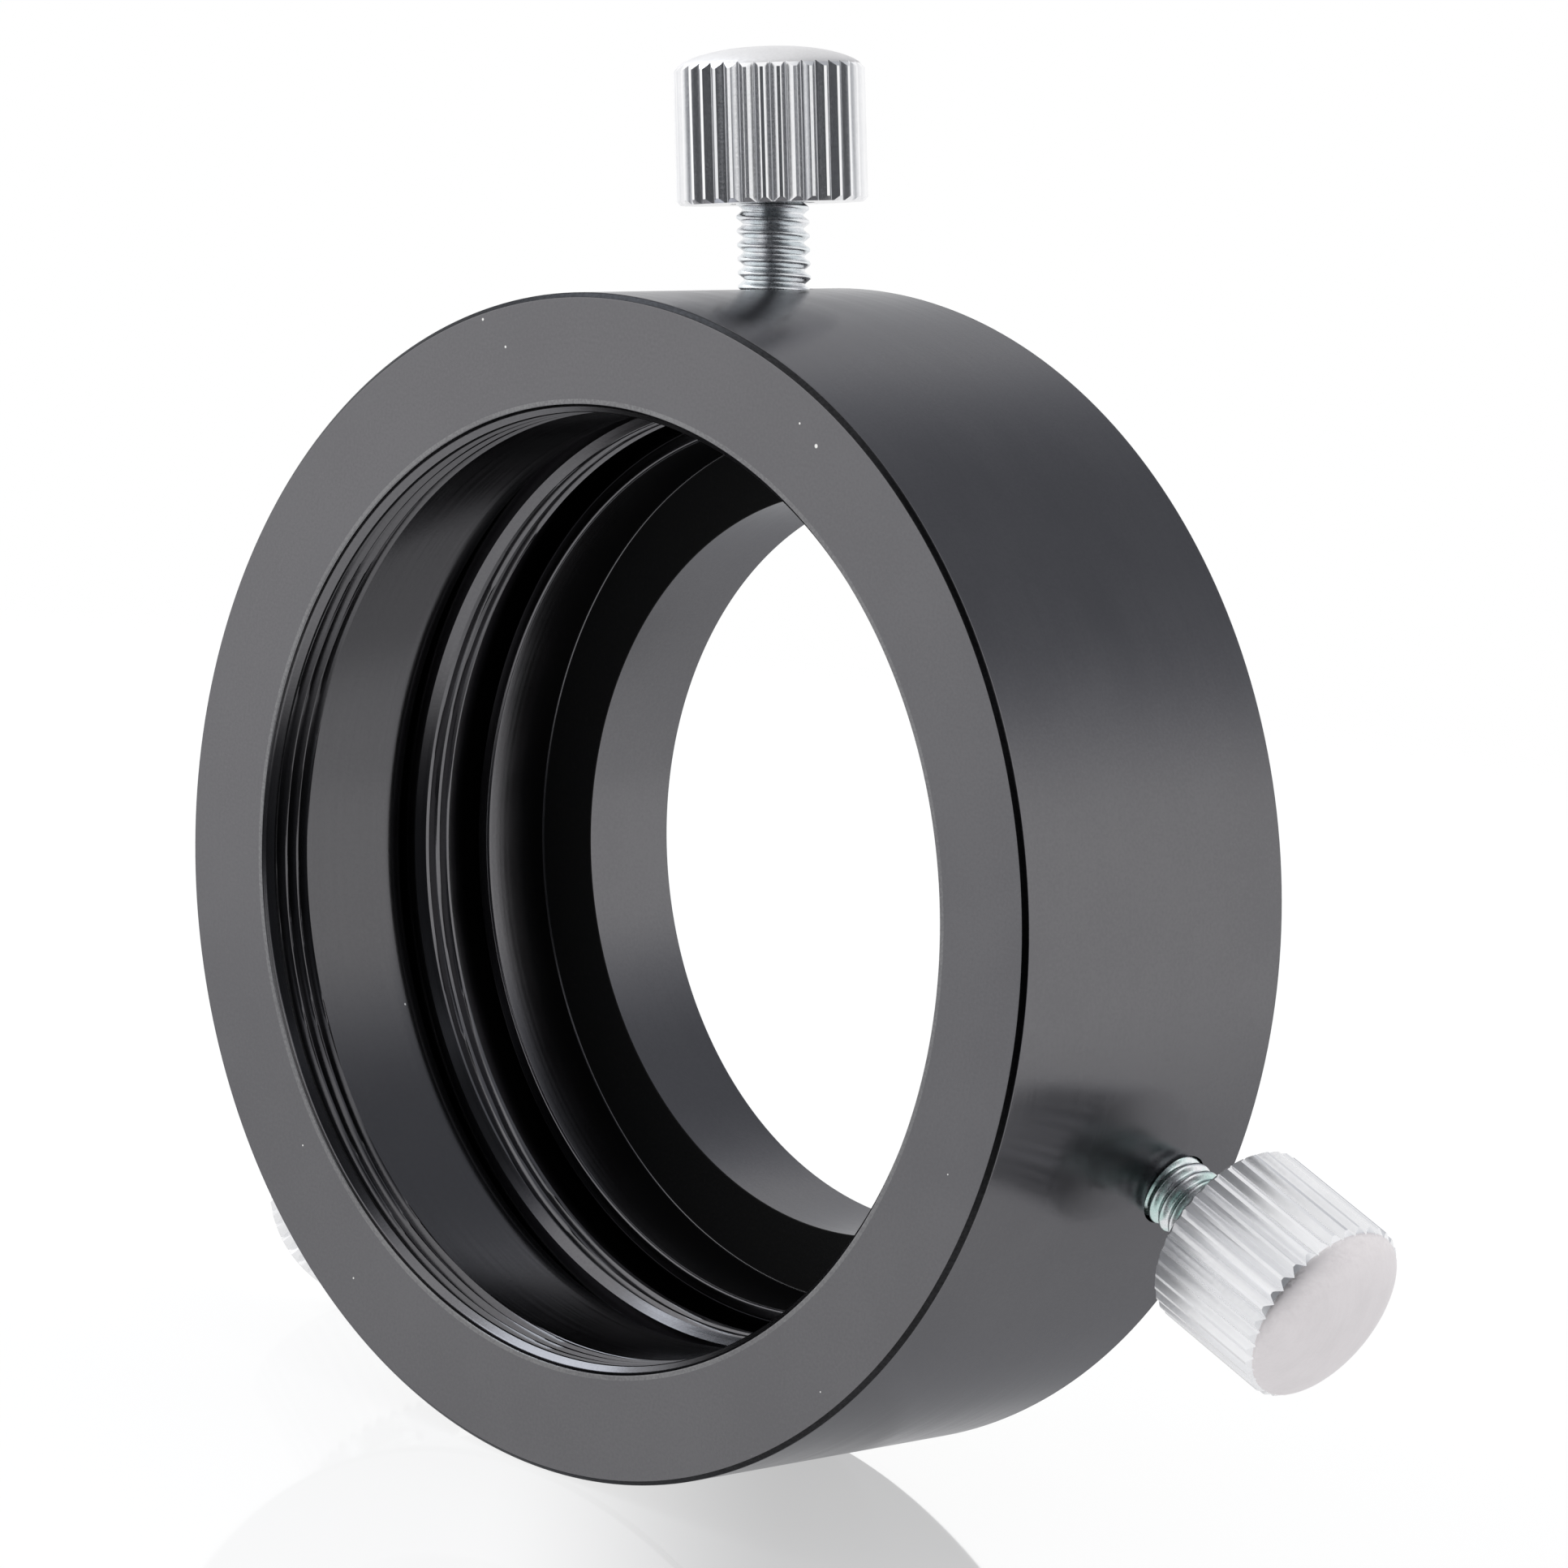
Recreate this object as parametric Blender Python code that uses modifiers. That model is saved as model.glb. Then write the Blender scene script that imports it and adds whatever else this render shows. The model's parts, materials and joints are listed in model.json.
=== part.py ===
"""Camera rotator: a black anodised housing ring with a captive rotating ring and a camera adapter.

The housing screws onto a telescope's focuser with the female thread at its front.
A rotating ring sits in its rear recess, held by three knurled thumbscrews whose nylon
tips bear in a V-groove round the ring. The camera adapter is screwed into the rotating
ring, so that the camera turns with it and is locked by the thumbscrews.

Sizes are in metres. The optical axis is world Y, the front face looks along -Y and the
part stands on its rim as it does on a table, leaning over until one knob touches down.
"""
from math import acos, atan2, cos, hypot, pi, radians, sin, tan

import bmesh
import bpy
from mathutils import Matrix, Vector

NAME = "camera_rotator"

# Clearances between pieces
SEAT_GAP = 0.0003
THREAD_GAP = 0.0003

# Housing
FRONT_THREAD_RADIUS = 0.0236
HOUSING_LENGTH = 0.01845
HOUSING_EDGE = 0.0003
HOUSING_REAR_EDGE = 0.00012
MOUTH_STEP = 0.0005
MOUTH_DEPTH = 0.0009
MOUTH_BEVEL = 0.00028
RECESS_WALL = 0.0029
RECESS_DEPTH = 0.0080
RECESS_EDGE = 0.0002
SHOULDER_EDGE = 0.0002

# Rotating ring
RING_EDGE = 0.0003
RING_THREAD_LENGTH = 0.0033
RING_RELIEF_DEPTH = 0.0004
RING_MOUTH_BEVEL = 0.0004
GROOVE_WALL = 0.0010
GROOVE_DEPTH = 0.0013
GROOVE_FLAT = 0.0006
GROOVE_ANGLE = radians(90.0)
GROOVE_INSET = 0.00376

# Camera adapter
ADAPTER_NOSE_LENGTH = 0.0041
ADAPTER_NOSE_BEVEL = 0.0003
ADAPTER_NOSE_WALL = 0.0010
ADAPTER_BORE_BEVEL = 0.00015
APERTURE_WALL = 0.0019
APERTURE_BEVEL = 0.00025
APERTURE_STEP = 0.0042
FLANGE_THICKNESS = 0.0018
FLANGE_EDGE = 0.0003
CAMERA_THREAD_RADIUS = 0.0210
CAMERA_THREAD_LENGTH = 0.00425
CAMERA_THREAD_BEVEL = 0.0004

# Thumbscrews
SCREW_ANGLES = {"top": 0.0, "right": radians(120.0), "left": radians(240.0)}
SCREW_PITCH = 0.0007
TURNS_BACKED_OFF = {"top": 0.75, "right": 0.0, "left": 0.0}
STUD_RADIUS = 0.00185
STUD_BEVEL = 0.0003
STUD_EXPOSED = 0.0038
HOLE_COUNTERSINK = 0.0003
KNOB_RADIUS = 0.00486
KNOB_HEIGHT = 0.00706
KNOB_DOME_HEIGHT = 0.00085
KNOB_BEVEL = 0.00036
KNOB_BORE_DEPTH = 0.0045
FLUTE_COUNT = 36
FLUTE_DEPTH = 0.0004
FLUTE_CREST = 0.00022
TIP_RADIUS = 0.0013
TIP_POINT_RADIUS = 0.0003
TIP_PIN_RADIUS = 0.0007
TIP_PIN_LENGTH = 0.0015

# Facets
RING_STEPS = 96
INNER_STEPS = 72
KNOB_STEPS = 72
STUD_STEPS = 28
TIP_STEPS = 20
DOME_STEPS = 4

# Sizes that follow from the ones above
MOUTH_RADIUS = FRONT_THREAD_RADIUS + MOUTH_STEP
RING_THREAD_RADIUS = FRONT_THREAD_RADIUS
RING_RELIEF_RADIUS = RING_THREAD_RADIUS + RING_RELIEF_DEPTH
GROOVE_BOTTOM = RING_RELIEF_RADIUS + GROOVE_WALL
RING_RADIUS = GROOVE_BOTTOM + GROOVE_DEPTH
RECESS_RADIUS = RING_RADIUS + SEAT_GAP
HOUSING_RADIUS = RECESS_RADIUS + RECESS_WALL
RECESS_START = HOUSING_LENGTH - RECESS_DEPTH
RING_START = RECESS_START + SEAT_GAP
RING_THREAD_END = RING_START + RING_THREAD_LENGTH
GROOVE_MIDDLE = RING_START + GROOVE_INSET
GROOVE_SLOPE = tan(GROOVE_ANGLE / 2.0)
GROOVE_HALF_FLAT = GROOVE_FLAT / 2.0
GROOVE_HALF_WIDTH = GROOVE_HALF_FLAT + GROOVE_DEPTH * GROOVE_SLOPE
ADAPTER_NOSE_RADIUS = RING_RELIEF_RADIUS - THREAD_GAP
ADAPTER_BORE_RADIUS = ADAPTER_NOSE_RADIUS - ADAPTER_NOSE_WALL
APERTURE_RADIUS = CAMERA_THREAD_RADIUS - APERTURE_WALL
FLANGE_RADIUS = RING_RADIUS
FLANGE_START = HOUSING_LENGTH + SEAT_GAP
ADAPTER_START = FLANGE_START - ADAPTER_NOSE_LENGTH
APERTURE_START = ADAPTER_START + APERTURE_STEP
FLANGE_END = FLANGE_START + FLANGE_THICKNESS
ADAPTER_END = FLANGE_END + CAMERA_THREAD_LENGTH
HOLE_RADIUS = STUD_RADIUS + THREAD_GAP
TIP_SLOPE_LENGTH = (TIP_RADIUS - TIP_POINT_RADIUS) / GROOVE_SLOPE
TIP_LIFT = SEAT_GAP / sin(GROOVE_ANGLE / 2.0)
TIP_BOTTOM = GROOVE_BOTTOM + TIP_LIFT
TIP_HEAD_TOP = RING_RADIUS + TIP_LIFT
STUD_BOTTOM = TIP_HEAD_TOP + SEAT_GAP
KNOB_BOTTOM = HOUSING_RADIUS + STUD_EXPOSED
STUD_TOP = KNOB_BOTTOM + KNOB_BORE_DEPTH - SEAT_GAP
KNOB_EDGE_RADIUS = KNOB_RADIUS - KNOB_BEVEL


def clear_scene():
    """Remove every object and every unused mesh, so that the script starts from nothing."""
    for old in list(bpy.data.objects):
        bpy.data.objects.remove(old, do_unlink=True)
    for old in list(bpy.data.meshes):
        bpy.data.meshes.remove(old)


def new_collection(name):
    """Return a new collection of this name in the scene."""
    group = bpy.data.collections.new(name)
    bpy.context.scene.collection.children.link(group)
    return group


def finish(name, colour, roughness, metallic):
    """Return a material of one plain colour."""
    material = bpy.data.materials.new(name)
    material.use_nodes = True
    shader = material.node_tree.nodes["Principled BSDF"]
    shader.inputs["Base Color"].default_value = (*colour, 1.0)
    shader.inputs["Roughness"].default_value = roughness
    shader.inputs["Metallic"].default_value = metallic
    material.diffuse_color = (*colour, 1.0)
    return material


def profile_mesh(name, points, closed):
    """Return a mesh of edges only, a profile in the XZ plane given as radius and height."""
    mesh = bpy.data.meshes.new(name)
    form = bmesh.new()
    corners = [form.verts.new((radius, 0.0, height)) for radius, height in points]
    for first, second in zip(corners, corners[1:]):
        form.edges.new((first, second))
    if closed:
        form.edges.new((corners[-1], corners[0]))
    form.to_mesh(mesh)
    form.free()
    return mesh


def turned(name, points, steps, closed, material, group):
    """Return a piece turned from its profile, which runs down the outer side from the top."""
    piece = bpy.data.objects.new(name, profile_mesh(name, points, closed))
    group.objects.link(piece)
    screw = piece.modifiers.new("turn", "SCREW")
    screw.axis = "Z"
    screw.angle = 2.0 * pi
    screw.steps = steps
    screw.render_steps = steps
    screw.use_merge_vertices = True
    screw.merge_threshold = 0.00001
    screw.use_smooth_shade = True
    piece.data.materials.append(material)
    return piece


def hide_cutter(piece):
    """Show a cutter as wires only and leave it out of the render."""
    piece.hide_render = True
    piece.display_type = "WIRE"


def cut(piece, tool, operation):
    """Add a Boolean of this kind with the tool to the piece."""
    boolean = piece.modifiers.new(operation.lower(), "BOOLEAN")
    boolean.operation = operation
    boolean.solver = "EXACT"
    boolean.object = tool


def housing_profile():
    """Return the housing's section, from the rear outer edge round to the rear recess."""
    thread_end = MOUTH_DEPTH + MOUTH_RADIUS - FRONT_THREAD_RADIUS
    return [
        (HOUSING_RADIUS - HOUSING_REAR_EDGE, HOUSING_LENGTH),
        (HOUSING_RADIUS, HOUSING_LENGTH - HOUSING_REAR_EDGE),
        (HOUSING_RADIUS, HOUSING_EDGE),
        (HOUSING_RADIUS - HOUSING_EDGE, 0.0),
        (MOUTH_RADIUS + MOUTH_BEVEL, 0.0),
        (MOUTH_RADIUS, MOUTH_BEVEL),
        (MOUTH_RADIUS, MOUTH_DEPTH),
        (FRONT_THREAD_RADIUS, thread_end),
        (FRONT_THREAD_RADIUS, RECESS_START - SHOULDER_EDGE),
        (FRONT_THREAD_RADIUS + SHOULDER_EDGE, RECESS_START),
        (RECESS_RADIUS, RECESS_START),
        (RECESS_RADIUS, HOUSING_LENGTH - RECESS_EDGE),
        (RECESS_RADIUS + RECESS_EDGE, HOUSING_LENGTH),
    ]


def ring_profile():
    """Return the rotating ring's section, with its V-groove outside and its bore inside."""
    return [
        (RING_RADIUS - RING_EDGE, HOUSING_LENGTH),
        (RING_RADIUS, HOUSING_LENGTH - RING_EDGE),
        (RING_RADIUS, GROOVE_MIDDLE + GROOVE_HALF_WIDTH),
        (GROOVE_BOTTOM, GROOVE_MIDDLE + GROOVE_HALF_FLAT),
        (GROOVE_BOTTOM, GROOVE_MIDDLE - GROOVE_HALF_FLAT),
        (RING_RADIUS, GROOVE_MIDDLE - GROOVE_HALF_WIDTH),
        (RING_RADIUS, RING_START + RING_EDGE),
        (RING_RADIUS - RING_EDGE, RING_START),
        (RING_THREAD_RADIUS + RING_MOUTH_BEVEL, RING_START),
        (RING_THREAD_RADIUS, RING_START + RING_MOUTH_BEVEL),
        (RING_THREAD_RADIUS, RING_THREAD_END),
        (RING_RELIEF_RADIUS, RING_THREAD_END),
        (RING_RELIEF_RADIUS, HOUSING_LENGTH),
    ]


def adapter_profile():
    """Return the camera adapter's section, from its rear thread round to its stepped bore."""
    return [
        (CAMERA_THREAD_RADIUS - CAMERA_THREAD_BEVEL, ADAPTER_END),
        (CAMERA_THREAD_RADIUS, ADAPTER_END - CAMERA_THREAD_BEVEL),
        (CAMERA_THREAD_RADIUS, FLANGE_END),
        (FLANGE_RADIUS - FLANGE_EDGE, FLANGE_END),
        (FLANGE_RADIUS, FLANGE_END - FLANGE_EDGE),
        (FLANGE_RADIUS, FLANGE_START + FLANGE_EDGE),
        (FLANGE_RADIUS - FLANGE_EDGE, FLANGE_START),
        (ADAPTER_NOSE_RADIUS, FLANGE_START),
        (ADAPTER_NOSE_RADIUS, ADAPTER_START + ADAPTER_NOSE_BEVEL),
        (ADAPTER_NOSE_RADIUS - ADAPTER_NOSE_BEVEL, ADAPTER_START),
        (ADAPTER_BORE_RADIUS + ADAPTER_BORE_BEVEL, ADAPTER_START),
        (ADAPTER_BORE_RADIUS, ADAPTER_START + ADAPTER_BORE_BEVEL),
        (ADAPTER_BORE_RADIUS, APERTURE_START),
        (APERTURE_RADIUS, APERTURE_START),
        (APERTURE_RADIUS, ADAPTER_END - APERTURE_BEVEL),
        (APERTURE_RADIUS + APERTURE_BEVEL, ADAPTER_END),
    ]


def hole_profile():
    """Return the section of a screw hole's cutter, which widens to a countersink outside."""
    mouth = HOUSING_RADIUS + HOLE_COUNTERSINK
    return [
        (0.0, mouth),
        (HOLE_RADIUS + 2.0 * HOLE_COUNTERSINK, mouth),
        (HOLE_RADIUS, HOUSING_RADIUS - HOLE_COUNTERSINK),
        (HOLE_RADIUS, RING_RADIUS),
        (0.0, RING_RADIUS),
    ]


def stud_profile():
    """Return a stud's section, with the blind hole for the tip's pin at its inner end."""
    pin_hole = TIP_PIN_RADIUS + SEAT_GAP
    hole_top = STUD_BOTTOM + TIP_PIN_LENGTH
    return [
        (0.0, STUD_TOP),
        (STUD_RADIUS - STUD_BEVEL, STUD_TOP),
        (STUD_RADIUS, STUD_TOP - STUD_BEVEL),
        (STUD_RADIUS, STUD_BOTTOM + STUD_BEVEL),
        (STUD_RADIUS - STUD_BEVEL, STUD_BOTTOM),
        (pin_hole, STUD_BOTTOM),
        (pin_hole, hole_top),
        (0.0, hole_top),
    ]


def tip_profile():
    """Return a tip's section: its pin, its head and the cone that meets the V-groove."""
    return [
        (0.0, TIP_HEAD_TOP + TIP_PIN_LENGTH),
        (TIP_PIN_RADIUS, TIP_HEAD_TOP + TIP_PIN_LENGTH),
        (TIP_PIN_RADIUS, TIP_HEAD_TOP),
        (TIP_RADIUS, TIP_HEAD_TOP),
        (TIP_RADIUS, TIP_BOTTOM + TIP_SLOPE_LENGTH),
        (TIP_POINT_RADIUS, TIP_BOTTOM),
        (0.0, TIP_BOTTOM),
    ]


def dome_points(edge_radius, edge_height, rise, steps):
    """Return a shallow dome's section from its top down to just above its edge."""
    sphere = (edge_radius ** 2 + rise ** 2) / (2.0 * rise)
    half_angle = atan2(edge_radius, sphere - rise)
    middle = edge_height + rise - sphere
    angles = [half_angle * step / steps for step in range(steps)]
    return [(sphere * sin(angle), middle + sphere * cos(angle)) for angle in angles]


def knob_profile():
    """Return the section of the knob's blank, wider than its flutes all round."""
    top = KNOB_BOTTOM + KNOB_HEIGHT
    spare = FLUTE_DEPTH
    bore = STUD_RADIUS + SEAT_GAP
    points = dome_points(KNOB_EDGE_RADIUS, top, KNOB_DOME_HEIGHT, DOME_STEPS)
    points += [
        (KNOB_EDGE_RADIUS, top),
        (KNOB_RADIUS + spare, top - KNOB_BEVEL - spare),
        (KNOB_RADIUS + spare, KNOB_BOTTOM + KNOB_BEVEL + spare),
        (KNOB_EDGE_RADIUS, KNOB_BOTTOM),
        (bore, KNOB_BOTTOM),
        (bore, KNOB_BOTTOM + KNOB_BORE_DEPTH),
        (0.0, KNOB_BOTTOM + KNOB_BORE_DEPTH),
    ]
    return points


def flute_outline():
    """Return the outline of the knurled knob seen from its end: V flutes and narrow crests."""
    root = KNOB_RADIUS - FLUTE_DEPTH
    half_crest = FLUTE_CREST / 2.0 / KNOB_RADIUS
    outline = []
    for flute in range(FLUTE_COUNT):
        crest = 2.0 * pi * flute / FLUTE_COUNT
        valley = crest + pi / FLUTE_COUNT
        for angle, radius in ((crest - half_crest, KNOB_RADIUS),
                              (crest + half_crest, KNOB_RADIUS),
                              (valley, root)):
            outline.append((radius * cos(angle), radius * sin(angle)))
    return outline


def fluted_bar(name, group):
    """Return a straight fluted bar, taller than the knob, that gives the blank its knurl."""
    mesh = bpy.data.meshes.new(name)
    form = bmesh.new()
    low = KNOB_BOTTOM - KNOB_BEVEL
    high = KNOB_BOTTOM + KNOB_HEIGHT + KNOB_DOME_HEIGHT + KNOB_BEVEL
    corners = [form.verts.new((x, y, low)) for x, y in flute_outline()]
    base = form.faces.new(corners)
    grown = bmesh.ops.extrude_face_region(form, geom=[base])
    raised = [part for part in grown["geom"] if isinstance(part, bmesh.types.BMVert)]
    bmesh.ops.translate(form, vec=(0.0, 0.0, high - low), verts=raised)
    bmesh.ops.recalc_face_normals(form, faces=form.faces)
    form.to_mesh(mesh)
    form.free()
    bar = bpy.data.objects.new(name, mesh)
    group.objects.link(bar)
    hide_cutter(bar)
    return bar


def resting_lean():
    """Return how far the part leans over until the left knob's rim meets the table.

    The table touches the housing's rim. A point of the knob at height a along the screw's
    axis and radius r from it is a * cos(b) + r * sin(b) below the middle, where b is the
    screw's angle from straight down, and it touches where that equals the housing's radius.
    """
    low = KNOB_BOTTOM + TURNS_BACKED_OFF["left"] * SCREW_PITCH
    angles = []
    for along, across in ((low + KNOB_HEIGHT - KNOB_BEVEL, KNOB_RADIUS),
                          (low + KNOB_HEIGHT, KNOB_EDGE_RADIUS)):
        angles.append(atan2(across, along) + acos(HOUSING_RADIUS / hypot(along, across)))
    return SCREW_ANGLES["left"] - pi - max(angles)


def screw_frame(angle):
    """Return the matrix that stands a thumbscrew on its hole, its Z axis pointing outwards."""
    outward = Vector((sin(angle), -cos(angle), 0.0))
    along = Vector((0.0, 0.0, 1.0))
    across = along.cross(outward)
    turn = Matrix((along, across, outward)).transposed().to_4x4()
    return Matrix.Translation((0.0, 0.0, GROOVE_MIDDLE)) @ turn


def new_empty(name, parent, group):
    """Return an empty under this parent."""
    empty = bpy.data.objects.new(name, None)
    empty.empty_display_size = HOUSING_EDGE * 10.0
    group.objects.link(empty)
    empty.parent = parent
    return empty


def stand_on_table(base, pieces):
    """Move the whole part so that its box is centred on the origin and rests at height 0."""
    bpy.context.view_layer.update()
    graph = bpy.context.evaluated_depsgraph_get()
    corners = []
    for piece in pieces:
        shape = piece.evaluated_get(graph)
        mesh = shape.to_mesh()
        corners += [shape.matrix_world @ corner.co for corner in mesh.vertices]
        shape.to_mesh_clear()
    lowest = [min(corner[axis] for corner in corners) for axis in range(3)]
    highest = [max(corner[axis] for corner in corners) for axis in range(3)]
    base.location = (-(lowest[0] + highest[0]) / 2.0, -(lowest[1] + highest[1]) / 2.0, -lowest[2])
    bpy.context.view_layer.update()


def build():
    """Build the camera rotator."""
    clear_scene()
    group = new_collection(NAME)
    cutters = new_collection(NAME + "_cutters")

    housing_black = finish("housing_anodised", (0.035, 0.035, 0.038), 0.42, 0.6)
    ring_black = finish("ring_anodised", (0.03, 0.03, 0.033), 0.4, 0.6)
    adapter_black = finish("adapter_anodised", (0.03, 0.03, 0.033), 0.4, 0.6)
    bright_aluminium = finish("knob_aluminium", (0.8, 0.8, 0.82), 0.25, 1.0)
    zinc_plate = finish("stud_zinc", (0.62, 0.66, 0.66), 0.28, 1.0)
    nylon = finish("tip_nylon", (0.85, 0.84, 0.8), 0.5, 0.0)

    base = new_empty("rotator_base", None, group)
    lean = resting_lean()
    base.rotation_euler = (Matrix.Rotation(-lean, 4, "Y") @ Matrix.Rotation(-pi / 2.0, 4, "X")).to_euler()

    housing = turned("outer_ring", housing_profile(), RING_STEPS, True, housing_black, group)
    housing.parent = base
    half_facet = pi / RING_STEPS
    housing.rotation_euler = (0.0, 0.0, pi / 2.0 - lean + half_facet)

    ring = turned("rotating_ring", ring_profile(), INNER_STEPS, True, ring_black, group)
    ring.parent = base

    adapter = turned("camera_adapter", adapter_profile(), INNER_STEPS, True, adapter_black, group)
    adapter.parent = base

    bar = fluted_bar("knob_flutes", cutters)
    bar.parent = base
    pieces = [housing, ring, adapter]
    for side, angle in SCREW_ANGLES.items():
        stand = new_empty("screw_axis_" + side, base, group)
        stand.matrix_local = screw_frame(angle)

        hole = turned("hole_" + side, hole_profile(), STUD_STEPS, False, housing_black, cutters)
        hole.parent = stand
        hide_cutter(hole)
        cut(housing, hole, "DIFFERENCE")

        slide = new_empty("screw_" + side, stand, group)
        slide.location = (0.0, 0.0, TURNS_BACKED_OFF[side] * SCREW_PITCH)

        knob = turned("knob_" + side, knob_profile(), KNOB_STEPS, False, bright_aluminium, group)
        knob.parent = slide
        flutes = bar.copy()
        flutes.name = "knob_flutes_" + side
        cutters.objects.link(flutes)
        flutes.parent = slide
        cut(knob, flutes, "INTERSECT")

        stud = turned("stud_" + side, stud_profile(), STUD_STEPS, False, zinc_plate, group)
        stud.parent = slide

        tip = turned("tip_" + side, tip_profile(), TIP_STEPS, False, nylon, group)
        tip.parent = slide
        pieces += [knob, stud, tip]
    bpy.data.objects.remove(bar, do_unlink=True)
    stand_on_table(base, pieces)


build()
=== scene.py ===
"""Camera rotator: the looks of a black anodised ring coupling with three knurled thumbscrews.

The housing screws onto a telescope with the thread in its mouth. Behind it a captive ring
and the camera adapter turn together, and three thumbscrews with nylon tips lock them. All
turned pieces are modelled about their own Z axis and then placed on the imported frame.
"""

import json
import logging
from dataclasses import dataclass
from enum import Enum
from math import atan2, cos, pi, radians, sin, tau

import bpy
import numpy as np
from mathutils import Euler, Matrix, Vector


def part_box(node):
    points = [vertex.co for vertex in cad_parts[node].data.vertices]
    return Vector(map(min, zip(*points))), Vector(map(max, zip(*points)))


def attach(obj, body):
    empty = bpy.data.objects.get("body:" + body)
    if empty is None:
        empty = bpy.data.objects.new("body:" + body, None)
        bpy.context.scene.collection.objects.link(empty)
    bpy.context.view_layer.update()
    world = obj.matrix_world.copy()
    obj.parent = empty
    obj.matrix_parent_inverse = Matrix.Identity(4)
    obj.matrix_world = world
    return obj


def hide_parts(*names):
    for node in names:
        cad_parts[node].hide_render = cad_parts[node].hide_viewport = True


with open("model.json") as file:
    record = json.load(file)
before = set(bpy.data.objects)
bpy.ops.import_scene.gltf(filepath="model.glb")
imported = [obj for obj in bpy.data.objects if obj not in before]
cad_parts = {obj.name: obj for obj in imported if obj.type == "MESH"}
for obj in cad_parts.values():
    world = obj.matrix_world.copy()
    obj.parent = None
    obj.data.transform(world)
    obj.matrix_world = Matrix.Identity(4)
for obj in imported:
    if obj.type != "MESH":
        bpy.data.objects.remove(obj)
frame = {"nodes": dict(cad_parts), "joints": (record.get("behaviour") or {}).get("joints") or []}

MM: float = 0.001
MERGE: float = 0.001 * MM
Piece = bpy.types.Object
Socket = bpy.types.NodeSocket
Colour = tuple[float, float, float]
Section = list[tuple[float, float]]
Band = tuple[float, float, float, float]  # least and greatest radius, then least and greatest height

log = logging.getLogger("camera_rotator")


class Side(Enum):
    """The three thumbscrews, by where they stand on the ring."""

    TOP = "top"
    RIGHT = "right"
    LEFT = "left"


@dataclass(frozen=True)
class ScrewFinishAndShade:
    """How one thumbscrew's finishes differ: satin, end roughness and tints vary, and the top screw's darker
    end colour is painted shade against the lamp's highlight.
    """

    satin: float
    end_colour: Colour
    end_roughness: float
    passivation: Colour


SCREW_FINISH_AND_SHADE: dict[Side, ScrewFinishAndShade] = {
    # The top screw's end colour is a little darker: painted shade against the lamp's highlight on it.
    Side.TOP: ScrewFinishAndShade(0.08, (0.81, 0.80, 0.80), 0.60, (0.81, 0.85, 0.87)),
    Side.RIGHT: ScrewFinishAndShade(0.30, (0.85, 0.815, 0.825), 0.46, (0.62, 0.79, 0.76)),
    Side.LEFT: ScrewFinishAndShade(0.20, (0.82, 0.81, 0.81), 0.50, (0.78, 0.84, 0.85)),
}


class Cut(Enum):
    """Which way a thread is cut into its wall."""

    OUTSIDE = -1.0
    INSIDE = 1.0


# ---------------------------------------------------------------- modelling


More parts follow.
